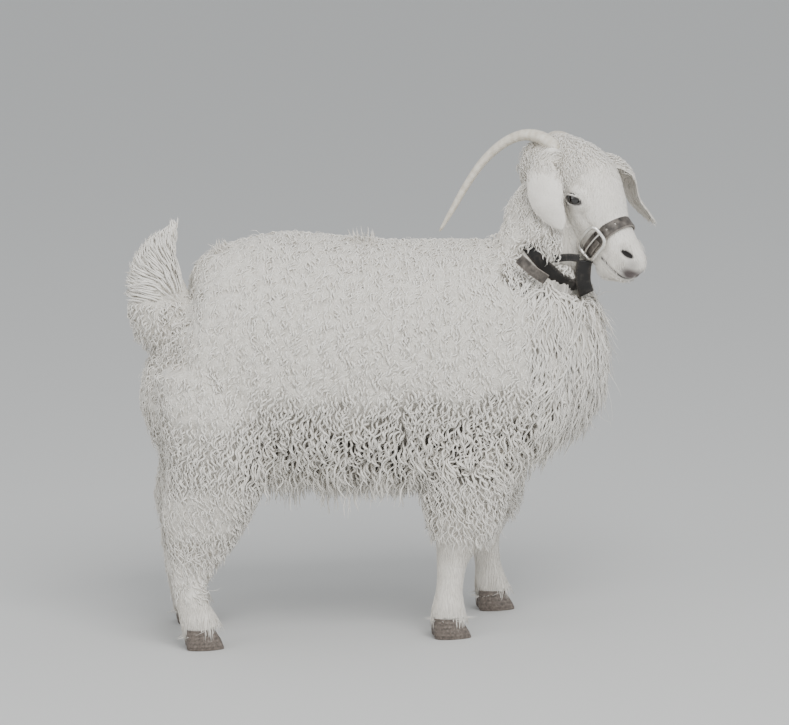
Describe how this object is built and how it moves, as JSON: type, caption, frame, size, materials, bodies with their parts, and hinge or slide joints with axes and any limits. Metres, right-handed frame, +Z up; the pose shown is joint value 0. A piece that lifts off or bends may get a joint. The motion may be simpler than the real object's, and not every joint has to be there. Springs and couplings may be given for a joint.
{
  "type": "angora goat",
  "caption": "Standing horned angora goat with a curly mohair fleece and a leather halter, a life-size display model.",
  "frame": {"origin": "on the floor under the middle of the model's box", "axes": "+Z up, +X from the rump to the chest, +Y to the goat's left"},
  "size_m": [0.8575, 0.3569, 0.7979],
  "materials": {
    "mohair": "curly off-white mohair",
    "horn": "ridged pale horn",
    "hoof": "dark worn hoof",
    "eye": "wet, dark",
    "leather": "black, oiled",
    "worn_leather": "worn to bare leather",
    "steel": "satin"
  },
  "bodies": {
    "root": {"claw_fore_left_a": "hoof", "claw_fore_left_b": "hoof", "claw_fore_right_a": "hoof", "claw_fore_right_b": "hoof", "claw_hind_left_a": "hoof", "claw_hind_left_b": "hoof", "claw_hind_right_a": "hoof", "claw_hind_right_b": "hoof", "ear_left": "mohair", "ear_right": "mohair", "eye_left": "eye", "eye_right": "eye", "halter_buckle": "steel", "halter_cheek_strap": "leather", "halter_collar": "leather", "halter_jaw_strap": "leather", "halter_noseband": "leather", "halter_strap_end": "worn_leather", "halter_strap_tip": "worn_leather", "head": "mohair", "horn_left": "horn", "horn_right": "horn", "leg_fore_left": "mohair", "leg_fore_right": "mohair", "leg_hind_left": "mohair", "leg_hind_right": "mohair", "neck": "mohair", "tail": "mohair", "torso": "mohair"}
  },
  "joints": []
}
